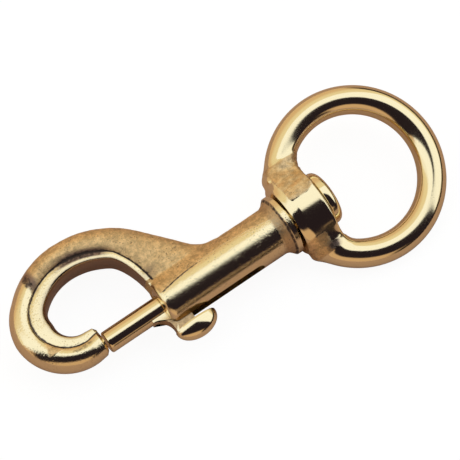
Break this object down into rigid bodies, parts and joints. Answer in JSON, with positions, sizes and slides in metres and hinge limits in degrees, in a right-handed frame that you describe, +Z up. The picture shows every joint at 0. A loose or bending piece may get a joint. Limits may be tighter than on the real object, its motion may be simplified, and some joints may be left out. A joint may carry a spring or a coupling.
{
  "type": "swivel eye snap hook",
  "caption": "Cast brass snap hook with a spring bolt drawn back by a thumb knob, and a round eye that swivels on a headed pin.",
  "frame": {"origin": "middle of the flat rear face of the swivel pin's head, on the axis that the pin, the barrel and the bolt share", "axes": "+X along the swivel axis, out of the barrel towards the far side of the round eye; +Y towards the back of the hook; +Z up when the snap lies on its side"},
  "size_m": [0.0936, 0.0406, 0.0138],
  "materials": {
    "cast_brass": "as-cast satin brass with fine pitting, rubbed bright on the bow",
    "polished_brass": "tumbled and polished brass",
    "spring_wire": "drawn spring wire"
  },
  "bodies": {
    "hook": {"hook_body": "cast_brass", "swivel_pin": "polished_brass", "bolt_spring": "spring_wire"},
    "gate": {"bolt": "polished_brass"},
    "eye": {"swivel_eye": "polished_brass"}
  },
  "joints": [
    {"name": "bolt_slide", "type": "slide", "parent": "hook", "child": "gate", "axis": [1, 0, 0], "range_m": [0, 0.0132], "stiffness_N_per_m": 400, "springref_m": -0.006, "deforming": ["bolt_spring"]},
    {"name": "eye_swivel", "type": "hinge", "parent": "hook", "child": "eye", "pos_m": [-0.0063, 0, 0], "axis": [1, 0, 0], "continuous": true}
  ]
}
